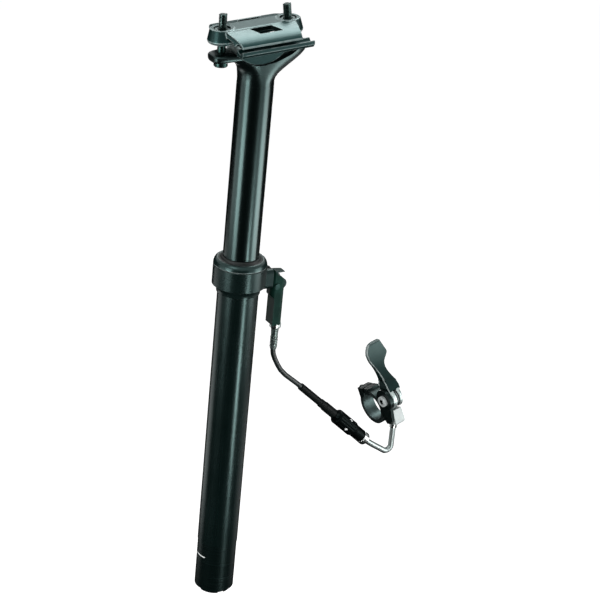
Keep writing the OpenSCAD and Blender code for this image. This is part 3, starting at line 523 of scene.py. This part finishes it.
def in_window(middle, normal):
    at = clamp_frame.inverted() @ middle
    return (window_back < at.x < window_front and window_inner < abs(at.y) < window_outer
            and abs(normal.z) < upright)


def on_boss(middle, normal):
    at = clamp_frame.inverted() @ middle
    return math.hypot(abs(at.x) - bolt_half, at.y) < boss_r and abs(normal.z) < upright


cradle_grey = tumbled("cradle_grey", (0.0035, 0.0150, 0.0143), 0.26, 0.6)
cradle = dressed("lower_cradle", "clamp", cradle_grey, edge=0.0004)
# The cradle's belly is given a much paler finish than the cradle, painted light standing in for the light that
# falls on it
painted_light_belly = bare("painted_light_belly", (0.42, 0.52, 0.51), 0.5, (0.3, 1, 0.3), 0.25, metallic=0.0)
refinish(cradle, painted_light_belly, lambda middle, normal: abs(middle.y) < belly_half and middle.z < belly_top)
plate_grey = tumbled("plate_grey", (0.0042, 0.022, 0.0212), 0.46, 1.0)
roof = dressed("top_clamp", "clamp", plate_grey, edge=0.0005, clamped=False)
# The window's side walls are painted near black, a painted shade in the hollow
refinish(roof, anodised("window_painted_shade", (0.0012, 0.0036, 0.0034), 0.5, 0.06, (1, 1, 0.1)), in_window)
# The bosses' sides are a darker copy of the plate's grey, a painted shade
refinish(roof, tumbled("boss_side_painted_shade", (0.0028, 0.0125, 0.0120), 0.34, 1.0), on_boss)

# Saddle bolts
# Two black oxide steel cap screws come up through the lugs, with rolled threads and a washer under each head.
# Their ends stand out above the nuts, so that the saddle can be tipped.
bolt_splay = math.radians(4)
bolt_r = 0.003
bolt_tip = 0.0131
bolt_seat = -0.0206
bolt_head_h = 0.00408
bolt_head_r = 0.005
key_r = 0.0025
key_deep = 0.002
thread_deep = 0.00045
thread_from = -0.0025
thread_turns = 15
turn_steps = 24
pitch = 0.001
bolt_steel = bare("bolt_steel", (0.020, 0.042, 0.038), 0.30, (1, 1, 0.2), 0.35)
crest_steel = bare("crest_steel", (0.15, 0.205, 0.195), 0.3, (1, 1, 1), 0.3)


def turned(shape, outline, steps=48):
    """Spins an outline of radii and heights once round Z, and closes it."""
    corners = [shape.verts.new((r, 0, z)) for r, z in outline]
    edges = [shape.edges.new(pair) for pair in zip(corners, corners[1:])]
    bmesh.ops.spin(shape, geom=corners + edges, cent=(0, 0, 0), axis=(0, 0, 1), angle=math.tau, steps=steps,
                   use_merge=True, use_duplicate=False)
    bmesh.ops.remove_doubles(shape, verts=shape.verts, dist=0.000001)
    bmesh.ops.recalc_face_normals(shape, faces=shape.faces)


def saddle_bolt(node, side):
    shape = bmesh.new()
    low = bolt_seat - bolt_head_h
    root = bolt_r - thread_deep
    turned(shape, [
        (0, bolt_tip), (root - 0.0004, bolt_tip), (root, bolt_tip - 0.0005), (root, -0.004), (bolt_r, -0.005),
        (bolt_r, bolt_seat), (bolt_head_r - 0.0003, bolt_seat), (bolt_head_r, bolt_seat - 0.0003),
        (bolt_head_r, low + 0.0006), (bolt_head_r - 0.0006, low), (key_r * 1.12, low), (key_r, low + 0.0002),
        (key_r, low + key_deep), (0, low + key_deep),
    ])
    # The key's six flats
    for v in shape.verts:
        reach = math.hypot(v.co.x, v.co.y)
        if 0.001 < reach < key_r * 1.01 and v.co.z < low + key_deep + 0.0001:
            turn = (math.atan2(v.co.y, v.co.x) + math.pi / 6) % (math.pi / 3) - math.pi / 6
            flat = key_r * 0.9 / math.cos(turn) / reach
            v.co.x *= flat
            v.co.y *= flat
    # The rolled thread, one ridge wound up the shank
    sunk = root - 0.0002
    profile = ((sunk, 0), (bolt_r, 0.42), (bolt_r, 0.54), (sunk, 0.96))
    ridge = [shape.verts.new((r, 0, thread_from + pitch * share)) for r, share in profile]
    edges = [shape.edges.new(pair) for pair in zip(ridge, ridge[1:] + ridge[:1])]
    bmesh.ops.spin(shape, geom=ridge + edges, cent=(0, 0, 0), axis=(0, 0, 1), dvec=(0, 0, pitch / turn_steps),
                   angle=math.tau * thread_turns, steps=turn_steps * thread_turns, use_merge=False,
                   use_duplicate=False)
    bmesh.ops.holes_fill(shape, edges=[e for e in shape.edges if e.is_boundary], sides=4)
    bmesh.ops.recalc_face_normals(shape, faces=shape.faces)
    place = (clamp_frame @ Matrix.Translation((side * bolt_half, 0, 0))
             @ Matrix.Rotation(-side * bolt_splay, 4, "Y"))
    bmesh.ops.transform(shape, matrix=place, verts=shape.verts)

    def on_crest(middle, normal):
        at = place.inverted() @ middle
        return at.z > thread_from and math.hypot(at.x, at.y) > bolt_r - 0.0003

    made = seated(node + "_thread", shape, "stanchion", bolt_steel, 30, node)
    refinish(made, crest_steel, on_crest)


saddle_bolt("rear_bolt", -1)
saddle_bolt("front_bolt", 1)
dressed("rear_washer", "stanchion", crest_steel, edge=0.0001)
dressed("front_washer", "stanchion", crest_steel, edge=0.0001)

# Saddle nuts
# Steel balls with flat tops, drilled and tapped, that roll in the round seats of the plate as it tips.
# They are turned from bar and blackened, and stay square to their bolts.
nut_steel = bare("nut_steel", (0.10, 0.14, 0.137), 0.28, (0.3, 0.3, 1), 0.3)
dressed("rear_nut", "rear_nut", nut_steel, edge=0.0002)
dressed("front_nut", "front_nut", nut_steel, edge=0.0002)

# Release
# A moulded housing screwed to the collar's arm, with a forged crank that the wire pulls down.
# The crank draws a sprung shoe off the stanchion, which is then free to slide.
release_black = moulded("release_black", (0.0036, 0.0180, 0.0132), 0.38, 0.07, 3000, 0.000004, tint=(0.5, 1, 0.9))
dressed("actuator_housing", "base", release_black, edge=0.0004)
crank_black = anodised("crank_black", (0.004, 0.012, 0.011), 0.34, 0.25, edge_highlight=0.2)
dressed("crank", "crank", crank_black, edge=0.0002)
dressed("crank_pin", "base", bolt_steel, edge=0.0001)
dressed("lock_screw", "base", bolt_steel, edge=0.0001)
pin_steel = bare("pin_steel", (0.34, 0.37, 0.365), 0.26, (0.3, 0.3, 1))
coat(pin_steel, "brake_plunger", "inner_wire")
shoe_spring = dressed("plunger_spring", "base", pin_steel)
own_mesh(shoe_spring)

# Ferrule and boot
# A plated ferrule stops the cable's housing under the release.
# A short rubber boot below it, crimped and scuffed to a mottled sheen, keeps the cable's end from kinking.
crimped, tree = new_finish("crimped_boot")
scale_marks = noise(tree, 1100, 4, (1, 1, 0.55))
dents = noise(tree, 520, 2)
fleck = scale_marks.step(0.44, 0.62)
tone = fleck.mix((0.008, 0.020, 0.018, 1), (0.26, 0.33, 0.315, 1))
surface(crimped, tone, 0.42 - fleck * 0.14, fleck * 0.8 + 0.15, bump=scale_marks + dents, depth=0.00012)
boot = dressed("cable_boot", "base", crimped, edge=0.0001)
ferrule_plate = bare("ferrule_plate", (0.36, 0.40, 0.39), 0.3, (0.4, 0.4, 1), 0.4)
dressed("cable_ferrule", "base", ferrule_plate, edge=0.0002)

# End sleeve
# A plastic sleeve and a stepped rubber boot that keep the cable straight where it enters the adjuster.
# Both are moulded, and pushed on over the cable's end, so the cable is complete here.
boot_rubber = moulded("boot_rubber", (0.0030, 0.0046, 0.0045), 0.46, 0.05, 2500, 0.000008)
sleeve = dressed("end_sleeve", "base", boot_rubber, edge=0.0003)
cable_length = sum((b - a).length for a, b in zip(cable_points, cable_points[1:]))
dressed("adjuster_boot", "base", boot_rubber, edge=0.0002)

# Barrel adjuster
# A turned barrel on a threaded stud, fluted for the fingers, with bright steel pins in its waist.
# Turning it takes up slack in the wire.
adjuster_foot = Vector((0.062, 0, -0.08903))
adjuster_dip = math.radians(41.7)
barrel_from = 0.0438
barrel_len = 0.0265
barrel_r = 0.0061
shoulder_from = 0.0004
shoulder_wide = 0.0022
shoulder_tall = 0.0041
collet_r = 0.0052
collet_len = 0.0100
bore = 0.0033
flutes = 12
flute_deep = 0.00036
flute_from = 0.0052
flute_to = 0.0232
flute_ease = 0.0012
pin_at = 0.0160
at_barrel = (Matrix.Translation(adjuster_foot) @ Matrix.Rotation(math.pi / 2 + adjuster_dip, 4, "Y")
             @ Matrix.Translation((0, 0, barrel_from)))
barrel = bmesh.new()
shoulder = [(barrel_r - shoulder_wide * math.cos(a), shoulder_from + shoulder_tall * math.sin(a))
            for a in (math.pi / 2 * i / 8 for i in range(9))]
grip = [(barrel_r, shoulder_from + shoulder_tall + 0.0007 * i) for i in range(1, 29)]
collet_end = barrel_len + collet_len
turned(barrel, [
    (bore, 0), (barrel_r - shoulder_wide, 0), *shoulder, *grip, (collet_r + 0.0002, barrel_len - 0.0003),
    (collet_r, barrel_len + 0.0002), (collet_r, collet_end - 0.0008), (collet_r - 0.0003, collet_end - 0.0003),
    (collet_r - 0.0008, collet_end), (bore, collet_end), (bore, 0),
], 144)
for v in barrel.verts:
    reach = math.hypot(v.co.x, v.co.y)
    if reach > barrel_r - 0.0001:
        turn = math.atan2(v.co.y, v.co.x) * flutes
        ends = (min(1, max(0, (v.co.z - flute_from) / flute_ease))
                * min(1, max(0, (flute_to - v.co.z) / flute_ease)))
        dip = 1 - flute_deep * ends * max(0, math.cos(turn)) ** 1.5 / reach
        v.co.x *= dip
        v.co.y *= dip
bmesh.ops.transform(barrel, matrix=at_barrel, verts=barrel.verts)
barrel_black = anodised("barrel_black", (0.0008, 0.0011, 0.0012), 0.40, 0.04, (0.3, 0.3, 1))
seated("adjuster_barrel", barrel, "adjuster", barrel_black, 40, "barrel_adjuster")
pins = bmesh.new()
for turn in (-148, -58, 32, 122):
    others = set(pins.verts)
    turned(pins, [(0, 0.0002), (0.0009, 0.00014), (0.0014, -0.0001), (0.0015, -0.0007), (0, -0.0007)], 24)
    outward = (Matrix.Rotation(math.radians(turn), 4, "Z") @ Matrix.Translation((barrel_r - 0.0001, 0, pin_at))
               @ Matrix.Rotation(math.pi / 2, 4, "Y"))
    bmesh.ops.transform(pins, matrix=at_barrel @ outward, verts=[v for v in pins.verts if v not in others])
pin_bright = bare("pin_bright", (0.72, 0.75, 0.745), 0.35, (0.4, 0.4, 1), metallic=0.25)
seated("adjuster_pins", pins, "adjuster", pin_bright, 40)

# Noodle
# A polished steel tube, bent once, that leads the wire from the adjuster up to the lever.
# A bright turned stud holds its lower end, and its upper end sits in a socket of the bracket.
noodle_r = 0.0024
noodle_bend = 0.0045
noodle_dip = math.radians(35)
noodle_turn = math.radians(125)
noodle_run = 0.0318
noodle_rise = 0.029
stud_end = 0.0856
stud_way = Vector((math.cos(adjuster_dip), 0, -math.sin(adjuster_dip)))
back = Vector((-math.cos(noodle_dip), 0, math.sin(noodle_dip)))
upward = Vector((math.sin(noodle_dip), 0, math.cos(noodle_dip)))
noodle_from = adjuster_foot + stud_way * stud_end
noodle_corner = noodle_from - back * noodle_run
noodle_top = noodle_corner + Vector((0, 0, noodle_rise))
bend_from = noodle_corner + back * (noodle_bend * math.tan(noodle_turn / 2))
noodle_points = [noodle_from]
noodle_points += interpolate_bezier(noodle_from + stud_way * 0.002, noodle_from + stud_way * 0.008,
                                    bend_from + back * 0.006, bend_from, 11)
for i in range(1, 25):
    turn = noodle_turn * i / 24
    noodle_points.append(bend_from + noodle_bend * (upward * (1 - math.cos(turn)) - back * math.sin(turn)))
noodle_points.append(noodle_top)
noodle_steel = bare("noodle_steel", (0.27, 0.310, 0.304), 0.40, (0.3, 0.3, 0.3), 0.05, depth=0.0000001, uneven=0.2)
noodle = drawn("bent_noodle", noodle_points, noodle_r, noodle_steel)
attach(noodle, "base")
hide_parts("noodle")
steel_bright = bare("steel_bright", (0.56, 0.59, 0.585), 0.24, (0.4, 0.4, 1))
dressed("adjuster_stud", "base", steel_bright, edge=0.0003)

# Remote bracket
# A cast aluminium band that a small screw draws round the handlebar, with a plate at its side for the lever.
# The bore is left bare and a little rough so that it grips.
bar_centre = Vector((0.1482260, 0.0210354, -0.1290677))
bar_way = Vector((0.95835, 0.15179, 0.24192))
band_bore = 0.01125
noodle_socket_r = 0.0034
noodle_socket_half = 0.0045


def off_axis(point, centre):
    """How far a point is from a line through centre that runs along the handlebar."""
    out = point - centre
    return (out - bar_way * out.dot(bar_way)).length


def in_noodle_socket(middle, normal):
    out = middle - noodle_top
    return math.hypot(out.x, out.y) < noodle_socket_r and abs(out.z) < noodle_socket_half


bracket_black = anodised("bracket_black", (0.0015, 0.0036, 0.0034), 0.30, 0.15, edge_highlight=0.3)
bracket = dressed("remote_bracket", "base", bracket_black, edge=0.0003)
bore_grey = bare("bore_grey", (0.045, 0.065, 0.064), 0.45, (1, 1, 1), 0.25)
refinish(bracket, bore_grey, lambda middle, normal: off_axis(middle, bar_centre) < band_bore)
refinish(bracket, steel_bright, in_noodle_socket)
dressed("clamp_screw", "base", pin_steel, edge=0.0001)

# Cable block
# A small cast alloy block on the bracket's plate, above the noodle's end, that leads the wire to the lever.
# It is left bare, with the faint mottle of the casting.
block_alloy = bare("block_alloy", (0.40, 0.44, 0.435), 0.55, (1, 1, 1), 0.05, metallic=0.2, depth=0.000001)
dressed("cable_stop", "base", block_alloy, edge=0.0005)

# Lever
# A forged aluminium paddle with a grooved hub that winds the wire, turning on a bolt through the bracket.
# Its colour is painted lighter towards its end, a painted sheen, and a coiled spring behind it brings it back.
pivot = Vector((0.1473101, 0.0023666, -0.1137263))
hub_reach = 0.0165
paddle_round = 0.0014
paddle_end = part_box("lever")[1][2]
groove_inner = 0.0086
groove_outer = 0.0092
hexagon_r = 0.00225


def round_paddle(shape, highlight_tag):
    """The paddle's outline is rounded wider than the hub, and the part of that round that faces partly along the
    handlebar is tagged for a painted highlight.
    """
    outline = [e for e in sharp_edges(shape, 35) if all((v.co - pivot).length > hub_reach for v in e.verts)]
    faces = rounded(shape, outline, paddle_round, segments=5, clamped=False)
    shape.normal_update()
    for face in faces:
        if 0.25 < -face.normal.dot(bar_way) < 0.85:
            face[highlight_tag] = 1


def in_groove(middle, normal):
    return groove_inner < off_axis(middle, pivot) < groove_outer and abs(normal.dot(bar_way)) < 0.5


def in_hexagon(middle, normal):
    reach = off_axis(middle, pivot)
    return reach < 0.001 or reach < hexagon_r and abs(normal.dot(bar_way)) < 0.5


# The paddle is painted lighter towards its end, a painted sheen, and its edges carry a painted highlight
lever_black = anodised("lever_black", (0.0034, 0.0110, 0.0104), 0.30, 0.18, edge_highlight=1.0,
                       painted_sheen=(paddle_end - 0.022, paddle_end - 0.002))
lever = dressed("lever", "lever", lever_black, edge=0.0006, clamped=False, shaped=round_paddle)
hub_bright = bare("hub_bright", (0.36, 0.42, 0.41), 0.42, (1, 1, 1), 0.15)
refinish(lever, hub_bright, in_groove)
head_bright = bare("head_bright", (0.46, 0.50, 0.495), 0.35, (0.4, 0.4, 1), metallic=0.25)
lever_bolt = dressed("lever_bolt", "base", head_bright, edge=0.0002)
# The hex socket is given the dark bolt steel, a painted shade in the recess
refinish(lever_bolt, bolt_steel, in_hexagon)
dressed("lever_nut", "base", nut_steel, edge=0.0002)
coat(pin_steel, "lever_spring")
